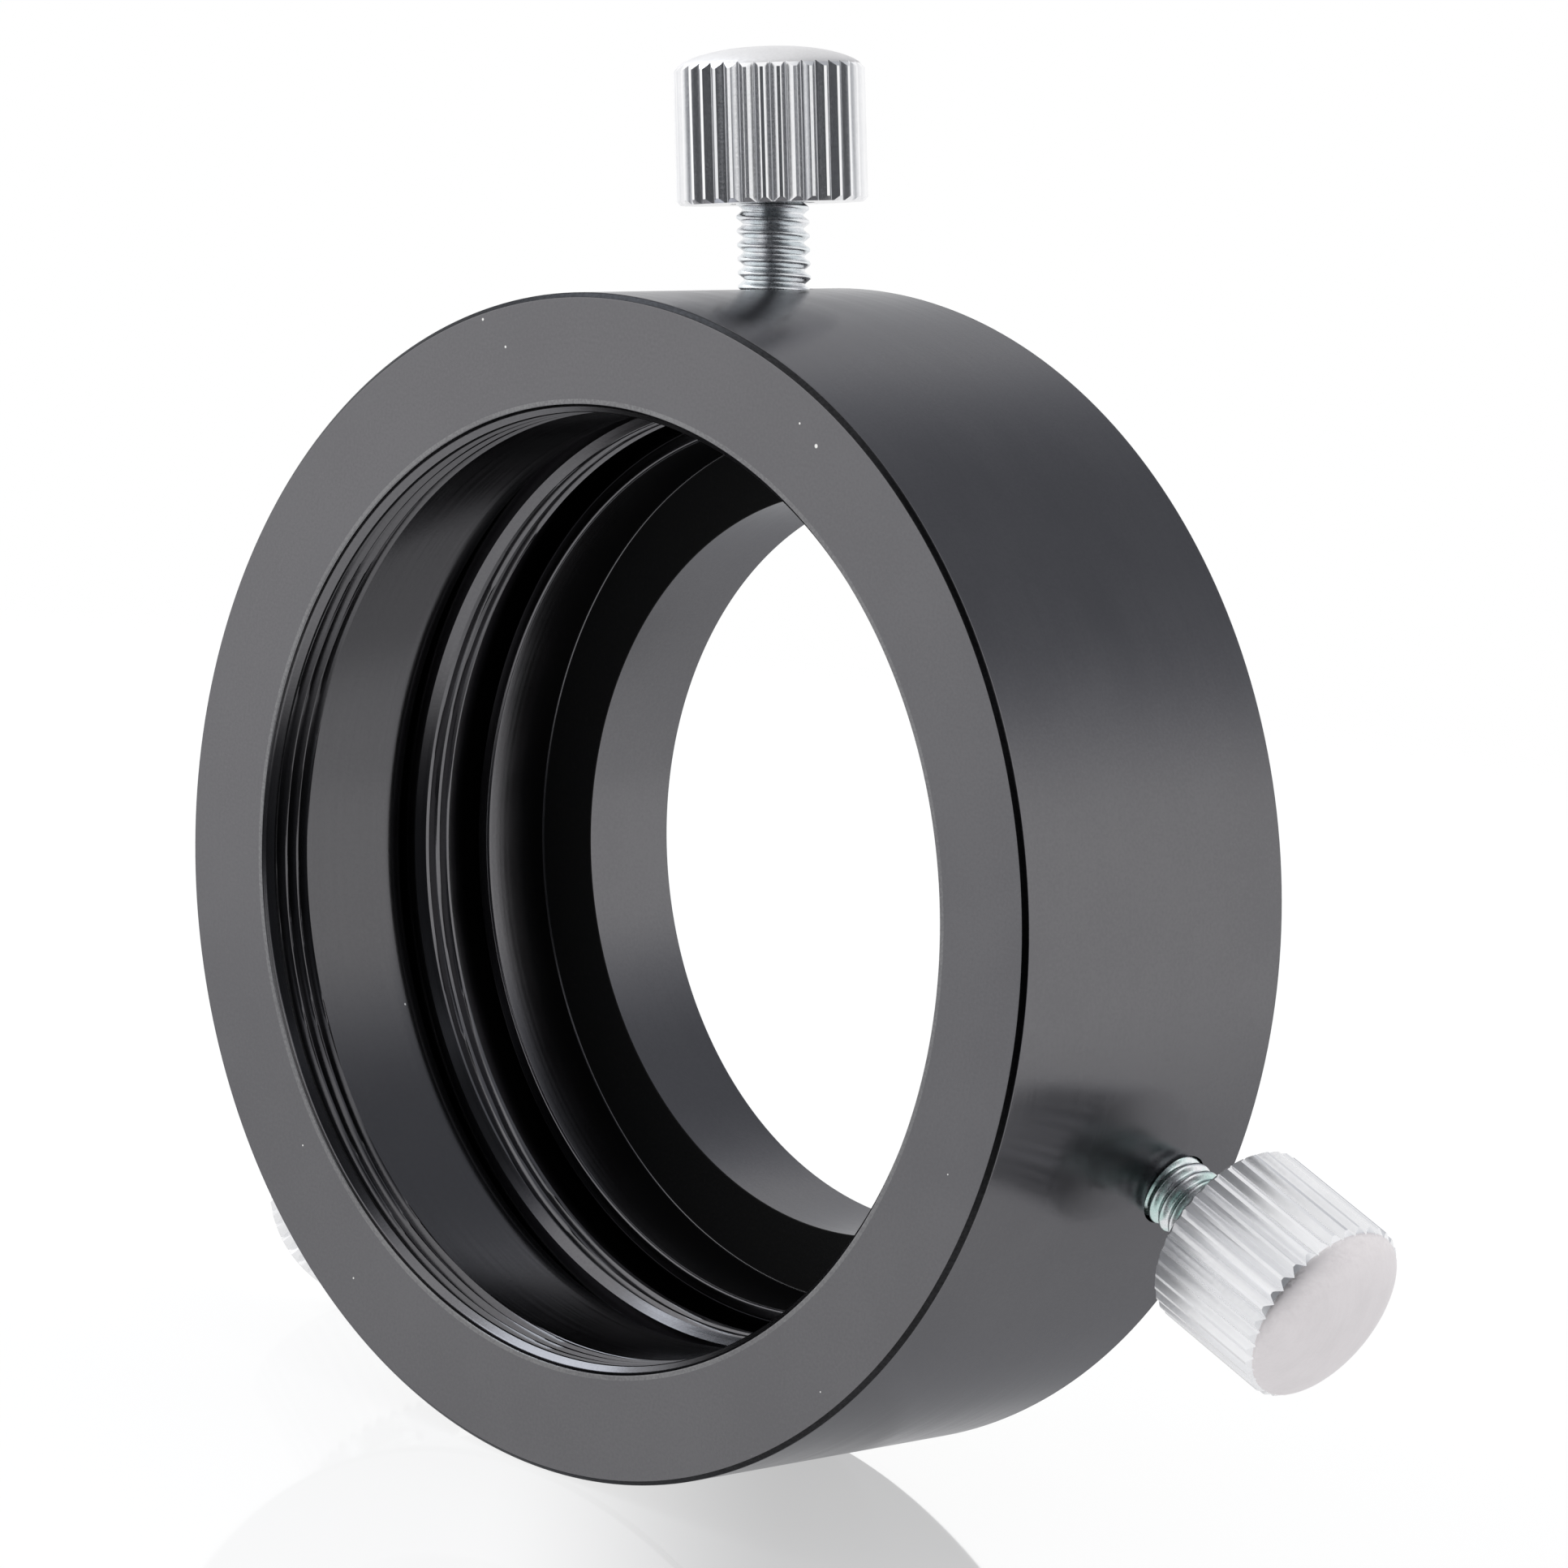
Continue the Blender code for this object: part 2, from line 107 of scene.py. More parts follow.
class Bench:
    """Modelling steps that the pieces share."""

    @staticmethod
    def clear() -> None:
        """Leave edit mode and deselect everything, so that only new work is touched."""
        if bpy.context.object and bpy.context.object.mode != "OBJECT":
            bpy.ops.object.mode_set(mode="OBJECT")
        bpy.ops.object.select_all(action="DESELECT")

    @staticmethod
    def pick(piece: Piece) -> None:
        """Select this piece alone and make it active."""
        Bench.clear()
        piece.select_set(True)
        bpy.context.view_layer.objects.active = piece

    @staticmethod
    def turn(name: str, section: Section, steps: int) -> Piece:
        """Turn a section about the Z axis into a closed solid.

        Args:
            name: name of the new piece.
            section: points as radius and height, run all the way round.
            steps: facets round the axis.

        Returns:
            The turned piece, its faces outwards.
        """
        Bench.clear()
        bpy.ops.mesh.primitive_plane_add(size=MM, location=(0.0, 0.0, 0.0))
        piece = bpy.context.active_object
        piece.name = name
        piece.data.name = name
        bpy.ops.object.mode_set(mode="EDIT")
        bpy.ops.mesh.select_all(action="SELECT")
        bpy.ops.mesh.merge(type="CENTER")
        bpy.ops.transform.translate(value=(section[0][0], 0.0, section[0][1]))
        for start, end in zip(section, section[1:]):
            step = (end[0] - start[0], 0.0, end[1] - start[1])
            bpy.ops.mesh.extrude_vertices_move(TRANSFORM_OT_translate={"value": step})
        bpy.ops.mesh.select_all(action="SELECT")
        bpy.ops.mesh.spin(steps=steps, angle=tau, center=(0.0, 0.0, 0.0), axis=(0.0, 0.0, 1.0))
        Bench.close_skin()
        return piece

    @staticmethod
    def close_skin() -> None:
        """Merge what meets, point all faces outwards and leave edit mode."""
        bpy.ops.mesh.select_all(action="SELECT")
        bpy.ops.mesh.remove_doubles(threshold=MERGE)
        bpy.ops.mesh.normals_make_consistent(inside=False)
        bpy.ops.object.mode_set(mode="OBJECT")

    @staticmethod
    def rounded(section: Section, size: float, steps: int = 2) -> Section:
        """Round each corner of a section a little, as deburring does.

        A plain row of points beside each rounding keeps the long faces' shading even.

        Args:
            section: closed run of corners.
            size: how far from a corner its rounding starts, at most a third of its edges.
            steps: facets in each rounding.

        Returns:
            The section with its corners rounded.
        """
        corners = [Vector(corner) for corner in section]
        points: Section = []
        for at, corner in enumerate(corners):
            before = corners[at - 1] - corner
            after = corners[(at + 1) % len(corners)] - corner
            reach = min(size, before.length / 3.0, after.length / 3.0)
            start = corner + before.normalized() * reach
            end = corner + after.normalized() * reach
            points.append(tuple(corner + before.normalized() * reach * 1.25))
            for step in range(steps + 1):
                part = step / steps
                bend = start * (1.0 - part) ** 2 + corner * 2.0 * part * (1.0 - part) + end * part ** 2
                points.append((bend.x, bend.y))
            points.append(tuple(corner + after.normalized() * reach * 1.25))
        return points

    @staticmethod
    def boolean(piece: Piece, tool: Piece, operation: str) -> None:
        """Cut the piece with the tool, which is used up.

        Args:
            piece: the piece that is cut.
            tool: the cutter.
            operation: DIFFERENCE or INTERSECT.
        """
        Bench.pick(piece)
        modifier = piece.modifiers.new("cut", "BOOLEAN")
        modifier.operation = operation
        modifier.solver = "EXACT"
        modifier.object = tool
        bpy.ops.object.modifier_apply(modifier=modifier.name)
        bpy.data.objects.remove(tool, do_unlink=True)

    @staticmethod
    def place(piece: Piece, where: Matrix) -> None:
        """Put a piece where it belongs and leave its object at the origin."""
        Bench.pick(piece)
        piece.matrix_world = where
        bpy.ops.object.transform_apply(location=True, rotation=True, scale=True)

    @staticmethod
    def coat(piece: Piece, axes: Matrix, material: bpy.types.Material, *bands: Band) -> None:
        """Give the faces in some bands another finish.

        Args:
            piece: the finished piece.
            axes: its own axes in the frame.
            material: the finish.
            bands: where it goes.
        """
        piece.data.materials.append(material)
        inverse = axes.inverted()
        for face in piece.data.polygons:
            at = inverse @ face.center
            if any(near < at.xy.length < far and low < at.z < high for near, far, low, high in bands):
                face.material_index = len(piece.data.materials) - 1

    @staticmethod
    def smooth(piece: Piece, degrees: float) -> None:
        """Shade a piece smooth wherever its faces meet at less than this angle."""
        Bench.pick(piece)
        bpy.ops.object.shade_smooth_by_angle(angle=radians(degrees))


@dataclass(frozen=True)
class Thread:
    """A right-handed vee thread along a turned wall."""

    wall: float
    pitch: float
    depth: float
    start: float
    end: float
    side: Cut
    rows_per_turn: int = 12
    run_in: float = 0.5
    run_out: float = 0.5
    lead: float = 0.0
    crest: float = 0.19
    guard: float = 0.015 * MM

    def heights(self) -> list[float]:
        """Return the heights of the rows of points that the thread is cut into."""
        count = round((self.end - self.start) / self.pitch * self.rows_per_turn)
        return [self.start + (self.end - self.start) * row / count for row in range(count + 1)]

    def rows(self) -> Section:
        """Return the wall's points, from its low end up, with a plain row just past each end."""
        heights = [self.start - self.guard, *self.heights(), self.end + self.guard]
        return [(self.wall, height) for height in heights]

    def cut(self, piece: Piece) -> None:
        """Move the wall's points in or out along the helix, full depth but for its two ends.

        Args:
            piece: the turned piece, still about the Z axis.
        """
        count = len(piece.data.vertices)
        flat = np.empty(count * 3, dtype=np.float32)
        piece.data.vertices.foreach_get("co", flat)
        places = flat.reshape(-1, 3).astype(float)
        radius = np.hypot(places[:, 0], places[:, 1])
        height = places[:, 2]
        on_wall = np.abs(radius - self.wall) < 2.0 * MERGE
        on_wall &= (height > self.start - MERGE) & (height < self.end + MERGE)
        turns = (height - self.start) / self.pitch
        phase = (turns - self.lead - np.arctan2(places[:, 1], places[:, 0]) / tau) % 1.0
        flank = (1.0 - self.crest) * 0.4
        vee = np.clip((0.5 - self.crest / 2.0 - np.abs(phase - 0.5)) / flank, 0.0, 1.0)
        fade_in = np.clip(turns / self.run_in, 0.0, 1.0)
        fade_out = np.clip((self.end - height) / self.pitch / self.run_out, 0.0, 1.0)
        moved = self.side.value * self.depth * vee * fade_in * fade_out
        scale = np.where(on_wall, 1.0 + moved / np.maximum(radius, MERGE), 1.0)
        places[:, :2] *= scale[:, None]
        piece.data.vertices.foreach_set("co", places.astype(np.float32).ravel())
        piece.data.update()


# ---------------------------------------------------------------- finishes


class Palette:
    """Node work that the finishes share."""

    def __init__(self, name: str, world: bool = False) -> None:
        """Start a material of this name, or a world, on its own first nodes."""
        self.owner = (bpy.data.worlds if world else bpy.data.materials).new(name)
        self.owner.use_nodes = True
        self.tree = self.owner.node_tree
        self.shader = self.tree.nodes.get("Principled BSDF")

    def add(self, kind: str, values: dict[str, object] | None = None, **settings: object) -> bpy.types.Node:
        """Add a node.

        Args:
            kind: the node's type, without its ShaderNode prefix.
            values: values for its input sockets, by name or number.
            settings: the node's own settings.

        Returns:
            The new node.
        """
        node = self.tree.nodes.new("ShaderNode" + kind)
        for key, value in settings.items():
            setattr(node, key, value)
        for socket, value in (values or {}).items():
            node.inputs[socket].default_value = value
        return node

    def join(self, source: Socket, target: Socket) -> None:
        """Link one socket to another."""
        self.tree.links.new(source, target)

    def maths(self, operation: str, first: object, second: object = 0.0,
              clamp: bool = False) -> Socket:
        """Do a sum on two values, each a socket or a number.

        Args:
            operation: what the Math node does.
            first: the first value.
            second: the second value.
            clamp: whether the result stays between 0 and 1.

        Returns:
            The result.
        """
        node = self.add("Math", operation=operation, use_clamp=clamp)
        for index, value in enumerate((first, second)):
            if isinstance(value, (int, float)):
                node.inputs[index].default_value = value
            else:
                self.join(value, node.inputs[index])
        return node.outputs[0]

    def blend(self, amount: Socket, first: object, second: object) -> Socket:
        """Mix two colours, each a socket or an RGB triple.

        Args:
            amount: the share of the second colour.
            first: the first colour.
            second: the second colour.

        Returns:
            The mixed colour.
        """
        node = self.add("Mix", data_type="RGBA")
        self.join(amount, node.inputs[0])
        for index, value in ((6, first), (7, second)):
            if isinstance(value, tuple):
                node.inputs[index].default_value = (*value, 1.0)
            else:
                self.join(value, node.inputs[index])
        return node.outputs[2]

    def ramp(self, source: Socket, low: float, high: float, to_low: float = 0.0,
             to_high: float = 1.0) -> Socket:
        """Spread a value smoothly from one range to another.

        Args:
            source: the value.
            low: its low end, which gives to_low.
            high: its high end, which gives to_high.
            to_low: the result at the low end.
            to_high: the result at the high end.

        Returns:
            The result.
        """
        node = self.add("MapRange", interpolation_type="SMOOTHSTEP")
        self.join(source, node.inputs[0])
        for index, value in enumerate((low, high, to_low, to_high), start=1):
            node.inputs[index].default_value = value
        return node.outputs[0]

    def measure(self, operation: str, place: Socket, other: tuple[float, float, float]) -> Socket:
        """Compare a place with a fixed vector.

        Args:
            operation: DISTANCE or DOT_PRODUCT.
            place: the place.
            other: the fixed vector.

        Returns:
            The distance or the dot product.
        """
        node = self.add("VectorMath", operation=operation)
        self.join(place, node.inputs[0])
        node.inputs[1].default_value = other
        return node.outputs["Value"]

    def noise(self, where: Socket, scale: float, detail: float = 2.0) -> Socket:
        """Return the noise at this place, of this many cells a metre."""
        node = self.add("TexNoise", {"Scale": scale, "Detail": detail})
        self.join(where, node.inputs["Vector"])
        return node.outputs["Fac"]

    def mixed_noise(self, first: Socket, share: float, second: Socket,
                    other_share: float) -> Socket:
        """Return two noises added up, each by its share."""
        shares = self.maths("MULTIPLY", first, share), self.maths("MULTIPLY", second, other_share)
        return self.maths("ADD", *shares)

    def own_place(self, frame_of_piece: Matrix) -> Socket:
        """Return the place on a piece in the piece's own axes, Z along its axis.

        Args:
            frame_of_piece: where the piece's own axes stand in the frame.

        Returns:
            A vector in metres.
        """
        coordinates = self.add("TexCoord")
        inverse = frame_of_piece.inverted()
        mapping = self.add("Mapping", {"Location": inverse.to_translation(), "Rotation": inverse.to_euler()})
        self.join(coordinates.outputs["Object"], mapping.inputs["Vector"])
        return mapping.outputs["Vector"]

    def turned(self, place: Socket) -> tuple[Socket, Socket]:
        """Return how far a place is from the Z axis, and how high it is."""
        split = self.add("SeparateXYZ")
        self.join(place, split.inputs[0])
        squares = [self.maths("MULTIPLY", split.outputs[axis], split.outputs[axis]) for axis in (0, 1)]
        return self.maths("SQRT", self.maths("ADD", *squares)), split.outputs[2]

    def lathe_marks(self, place: Socket, scale: float) -> Socket:
        """Return noise that runs in rings round the Z axis, as a lathe's tool leaves it."""
        across, along = self.turned(place)
        rings = self.add("CombineXYZ")
        self.join(across, rings.inputs[0])
        self.join(along, rings.inputs[1])
        return self.noise(rings.outputs[0], scale, 3.0)

    def dent(self, height: Socket, strength: float, distance: float) -> None:
        """Lead a height into the shader's normal as a bump."""
        bump = self.add("Bump", {"Strength": strength, "Distance": distance})
        self.join(height, bump.inputs["Height"])
        self.feed(Normal=bump.outputs["Normal"])

    def feed(self, **values: Socket) -> None:
        """Lead values into the shader's own sockets, with _ for a space in a name."""
        for socket, value in values.items():
            self.join(value, self.shader.inputs[socket.replace("_", " ")])

    def set(self, **values: object) -> None:
        """Set the shader's own sockets, with _ for a space in a name."""
        for socket, value in values.items():
            self.shader.inputs[socket.replace("_", " ")].default_value = value


@dataclass(frozen=True)
class Speck:
    """A pale fleck of dust or a bright nick, at a place in the frame."""

    x: float
    y: float
    z: float
    size: float


@dataclass(frozen=True)
class BlackAnodised:
    """Satin black anodised aluminium with fine grain and faint lathe rings."""

    name: str
    colour: Colour = (0.152, 0.150, 0.158)
    worn: Colour = (0.166, 0.164, 0.172)
    edge_tint: Colour = (0.61, 0.615, 0.63)
    fleck: Colour = (0.85, 0.85, 0.83)
    roughness: float = 0.20
    ring_scale: float = 5200.0
    grain_scale: float = 6500.0
    cloud_scale: float = 160.0
    bump: float = 0.35
    # The next three values paint shade into the bore: inside this radius and past this height the colour is
    # scaled by this level.
    bore_radius: float = 0.0
    painted_shade_start: float = 0.95 * MM
    painted_shade_level: float = 0.74

    def make(self, axes: Matrix, specks: tuple[Speck, ...] = ()) -> bpy.types.Material:
        """Return the material.

        Args:
            axes: the piece's own axes in the frame, Z along the optical axis.
            specks: the flecks on it.
        """
        work = Palette(self.name)
        place = work.own_place(axes)
        rings = work.lathe_marks(place, self.ring_scale)
        grain = work.noise(place, self.grain_scale, 4.0)
        clouds = work.noise(place, self.cloud_scale, 3.0)
        tone = work.mixed_noise(grain, 0.6, clouds, 0.4)
        colour = work.blend(work.ramp(tone, 0.35, 0.65), self.colour, self.worn)
        if self.bore_radius:
            colour = self.painted_bore_shade(work, place, colour)
        for speck in specks:
            colour = self.fleck_at(work, colour, speck)
        work.feed(Base_Color=colour)
        uneven = work.maths("ADD", rings, clouds)
        work.feed(Roughness=work.ramp(uneven, 0.7, 1.3, self.roughness - 0.03, self.roughness + 0.04))
        work.dent(work.mixed_noise(rings, 0.35, grain, 0.40), self.bump, 0.01 * MM)
        work.set(Metallic=1.0, Specular_Tint=(*self.edge_tint, 1.0))
        return work.owner

    def painted_bore_shade(self, work: Palette, place: Socket,
                    colour: Socket) -> Socket:
        """Paint shade into the bore: darken the colour a little inside the bore radius and past the start
        height.

        Args:
            work: the material's nodes.
            place: the place on the piece in its own axes.
            colour: the colour so far.

        Returns:
            The colour with the darker bore.
        """
        across, along = work.turned(place)
        inside = work.maths("MULTIPLY", work.maths("LESS_THAN", across, self.bore_radius),
                            work.maths("GREATER_THAN", along, self.painted_shade_start))
        shade = work.maths("SUBTRACT", 1.0, work.maths("MULTIPLY", inside, 1.0 - self.painted_shade_level))
        dark = work.add("VectorMath", operation="SCALE")
        work.join(colour, dark.inputs[0])
        work.join(shade, dark.inputs["Scale"])
        return dark.outputs[0]

    def fleck_at(self, work: Palette, colour: Socket, speck: Speck) -> Socket:
        """Lay a fleck on the colour.

        Args:
            work: the material's nodes.
            colour: the colour so far.
            speck: the fleck.

        Returns:
            The colour with the fleck.
        """
        place = work.add("TexCoord").outputs["Object"]
        away = work.measure("DISTANCE", place, (speck.x * MM, speck.y * MM, speck.z * MM))
        mask = work.ramp(away, speck.size * 0.5 * MM, speck.size * MM, 1.0, 0.0)
        return work.blend(mask, colour, self.fleck)


@dataclass(frozen=True)
class PaintedStepShade:
    """Near-black colour on the step inside the adapter: painted shade where the step lies deep in the bore.
    """

    name: str = "step_painted_shade"
    colour: Colour = (0.0030, 0.0030, 0.0032)
    dusty: Colour = (0.0060, 0.0060, 0.0062)

    def make(self, axes: Matrix) -> bpy.types.Material:
        """Return the material for a piece with these axes."""
        work = Palette(self.name)
        grain = work.noise(work.own_place(axes), 5200.0, 4.0)
        work.feed(Base_Color=work.blend(work.ramp(grain, 0.5, 0.75), self.colour, self.dusty))
        work.dent(grain, 0.5, 0.02 * MM)
        work.set(Roughness=0.55, Specular_IOR_Level=0.25)
        return work.owner


@dataclass(frozen=True)
class BrightAluminium:
    """Bright turned aluminium, or the same with a fine matte skin."""

    name: str
    colour: Colour = (0.97, 0.97, 0.98)
    roughness: float = 0.22
    marks: float = 0.3
    satin: float = 0.0

    def make(self, axes: Matrix) -> bpy.types.Material:
        """Return the material for a piece with these axes."""
        work = Palette(self.name)
        place = work.own_place(axes)
        rings = work.lathe_marks(place, 7000.0)
        grain = work.noise(place, 9000.0, 3.0)
        clouds = work.noise(place, 500.0, 2.0)
        dull = tuple(channel * 0.97 for channel in self.colour)
        work.feed(Base_Color=work.blend(work.ramp(clouds, 0.35, 0.65), self.colour, dull))
        uneven = work.maths("ADD", rings, grain)
        work.feed(Roughness=work.ramp(uneven, 0.7, 1.3, self.roughness * 0.85, self.roughness * 1.2))
        work.dent(work.mixed_noise(rings, 0.6, grain, 0.4), self.marks, 0.006 * MM)
        work.set(Metallic=1.0 - self.satin)
        return work.owner


@dataclass(frozen=True)
class ZincPlate:
    """Zinc plate with the faint green and straw tints of its passivation."""

    name: str = "stud_zinc"
    colour: Colour = (0.90, 0.91, 0.93)
    tint: Colour = (0.76, 0.84, 0.85)
    roughness: float = 0.27

    def make(self, axes: Matrix) -> bpy.types.Material:
        """Return the material for a piece with these axes."""
        work = Palette(self.name)
        place = work.own_place(axes)
        tones = work.noise(place, 900.0, 3.0)
        grain = work.noise(place, 8000.0, 3.0)
        work.feed(Base_Color=work.blend(work.ramp(tones, 0.35, 0.65), self.colour, self.tint))
        work.feed(Roughness=work.ramp(grain, 0.3, 0.7, self.roughness * 0.8, self.roughness * 1.3))
        work.dent(grain, 0.10, 0.006 * MM)
        work.set(Metallic=1.0)
        return work.owner


@dataclass(frozen=True)
class Nylon:
    """Natural nylon, slightly clouded."""

    name: str = "tip_nylon"
    colour: Colour = (0.80, 0.78, 0.72)
    clouded: Colour = (0.72, 0.70, 0.63)

    def make(self, axes: Matrix) -> bpy.types.Material:
        """Return the material for a piece with these axes."""
        work = Palette(self.name)
        place = work.own_place(axes)
        clouds = work.ramp(work.noise(place, 1500.0), 0.35, 0.65)
        work.feed(Base_Color=work.blend(clouds, self.colour, self.clouded))
        work.dent(work.noise(place, 9000.0), 0.3, 0.008 * MM)
        work.set(Roughness=0.45)
        return work.owner


# ---------------------------------------------------------------- pieces


@dataclass
class OuterRing:
    """The housing: a thick ring with a threaded mouth and a recess for the rotating ring."""

    radius: float = 29.5 * MM
    length: float = 18.45 * MM
    edge: float = 0.24 * MM
    rear_edge: float = 0.12 * MM
    mouth_radius: float = 24.02 * MM
    rub_width: float = 0.25 * MM
    bore_radius: float = 23.6 * MM
    cone_start: tuple[float, float] = (23.93 * MM, 0.24 * MM)
    cone_end: float = 0.56 * MM
    thread_gap: float = 0.07 * MM
    thread_end: float = 2.82 * MM
    thread_pitch: float = 0.75 * MM
    thread_depth: float = 0.40 * MM
    recess_radius: float = 26.6 * MM
    recess_start: float = 10.45 * MM
    recess_edge: float = 0.2 * MM
    roll_start: float = 7.85 * MM
    roll_radius: float = 3.2 * MM
    deburr: float = 0.05 * MM
    hole_radius: float = 1.93 * MM
    hole_sink: float = 0.08 * MM
    hole_height: float = 14.51 * MM
    steps: int = 256

    def thread(self) -> Thread:
        """Return the mouth's thread."""
        return Thread(self.bore_radius, self.thread_pitch, self.thread_depth, self.cone_end + self.thread_gap,
                      self.thread_end, Cut.INSIDE, run_in=0.05, run_out=0.12, lead=0.438, crest=0.16)

    def section(self) -> Section:
        """Return the housing's section, with rows of points where its thread goes."""
        rear = Bench.rounded([
            (self.rolled(self.recess_start), self.recess_start),
            (self.recess_radius, self.recess_start),
            (self.recess_radius, self.length - self.recess_edge),
            (self.recess_radius + self.recess_edge, self.length),
            (self.radius - self.rear_edge, self.length),
            (self.radius, self.length - self.rear_edge),
            (self.radius, self.edge),
            (self.radius - self.edge, 0.0),
            (self.mouth_radius + self.rub_width, 0.0),
            (self.mouth_radius, 0.0),
            self.cone_start,
            (self.bore_radius, self.cone_end),
        ], self.deburr)
        closed = rear[:-1] + self.thread().rows()
        reach = self.recess_start - self.roll_start
        closed.append((self.bore_radius, self.roll_start - 0.05 * MM))
        for step in range(8):
            height = self.roll_start + reach * step / 8
            closed.append((self.rolled(height), height))
        closed.append(closed[0])
        return closed

    def rolled(self, height: float) -> float:
        """Return the wall's radius where its rear end rounds off towards the recess."""
        past = max(0.0, height - self.roll_start)
        return self.bore_radius + self.roll_radius - (self.roll_radius ** 2 - past ** 2) ** 0.5

    def drill(self, piece: Piece, outward: Vector) -> None:
        """Drill a screw's hole, with its countersink.

        Args:
            piece: the housing, still about the Z axis.
            outward: the hole's direction in the housing's own axes.
        """
        top = self.radius + self.hole_sink
        hole = Bench.turn("hole", [
            (0.0, top),
            (self.hole_radius + 2.0 * self.hole_sink, top),
            (self.hole_radius, self.radius - self.hole_sink),
            (self.hole_radius, self.recess_radius - self.hole_sink),
            (0.0, self.recess_radius - self.hole_sink),
        ], 48)
        turn = outward.to_track_quat("Z", "Y").to_matrix().to_4x4()
        Bench.place(hole, Matrix.Translation((0.0, 0.0, self.hole_height)) @ turn)
        Bench.boolean(piece, hole, "DIFFERENCE")

    def build(self, axes: Matrix, outwards: list[Vector]) -> Piece:
        """Build the housing.

        Args:
            axes: the ring's own axes in the frame.
            outwards: the screws' directions in the frame.

        Returns:
            The housing in its place.
        """
        piece = Bench.turn("housing_shell", self.section(), self.steps)
        self.thread().cut(piece)
        for outward in outwards:
            self.drill(piece, axes.inverted().to_3x3() @ outward)
        Bench.place(piece, axes)
        Bench.smooth(piece, 30.0)
        return piece

    def rubbed_edge(self) -> Band:
        """Return where the mouth's edge is rubbed."""
        return self.mouth_radius - 0.03 * MM, self.mouth_radius + self.rub_width, -MERGE, 0.03 * MM

    def thread_lead(self) -> Band:
        """Return where the cone meets the thread, a thin line coloured near black as painted shade."""
        reach = self.deburr / 2.0
        return (self.bore_radius - reach, self.bore_radius + reach, self.cone_end - reach,
                self.cone_end + self.thread_gap + reach)

    def chamfer(self) -> Band:
        """Return where the outer chamfer is, coloured near black as painted shade."""
        reach = self.edge + self.deburr / 2.0
        return self.radius - reach, self.radius + MERGE, MERGE, reach


@dataclass
class RotatingRing:
    """The captive ring: a vee groove outside for the tips, a thread inside for the adapter."""

    radius: float = 26.3 * MM
    edge: float = 0.3 * MM
    start: float = 10.75 * MM
    end: float = 18.45 * MM
    thread_radius: float = 23.6 * MM
    thread_end: float = 12.76 * MM
    thread_pitch: float = 0.75 * MM
    thread_depth: float = 0.42 * MM
    mouth_bevel: float = 0.42 * MM
    relief_radius: float = 24.4 * MM
    groove_bottom: float = 25.0 * MM
    groove_middle: float = 14.51 * MM
    groove_half_flat: float = 0.3 * MM
    groove_half_width: float = 1.6 * MM
    steps: int = 256

    def thread(self) -> Thread:
        """Return the bore's thread."""
        return Thread(self.thread_radius, self.thread_pitch, self.thread_depth,
                      self.start + self.mouth_bevel, self.thread_end, Cut.INSIDE, run_in=0.05, run_out=0.1,
                      lead=0.636, crest=0.34)

    def section(self) -> Section:
        """Return the ring's section."""
        points = [
            (self.relief_radius, self.thread_end),
            (self.relief_radius, self.end),
            (self.radius - self.edge, self.end),
            (self.radius, self.end - self.edge),
            (self.radius, self.groove_middle + self.groove_half_width),
            (self.groove_bottom, self.groove_middle + self.groove_half_flat),
            (self.groove_bottom, self.groove_middle - self.groove_half_flat),
            (self.radius, self.groove_middle - self.groove_half_width),
            (self.radius, self.start + self.edge),
            (self.radius - self.edge, self.start),
            (self.thread_radius + self.mouth_bevel, self.start),
        ]
        points += self.thread().rows()
        points.append(points[0])
        return points

    def build(self, axes: Matrix) -> Piece:
        """Build the ring and put it in its place."""
        piece = Bench.turn("captive_ring", self.section(), self.steps)
        self.thread().cut(piece)
        Bench.place(piece, axes)
        Bench.smooth(piece, 30.0)
        return piece


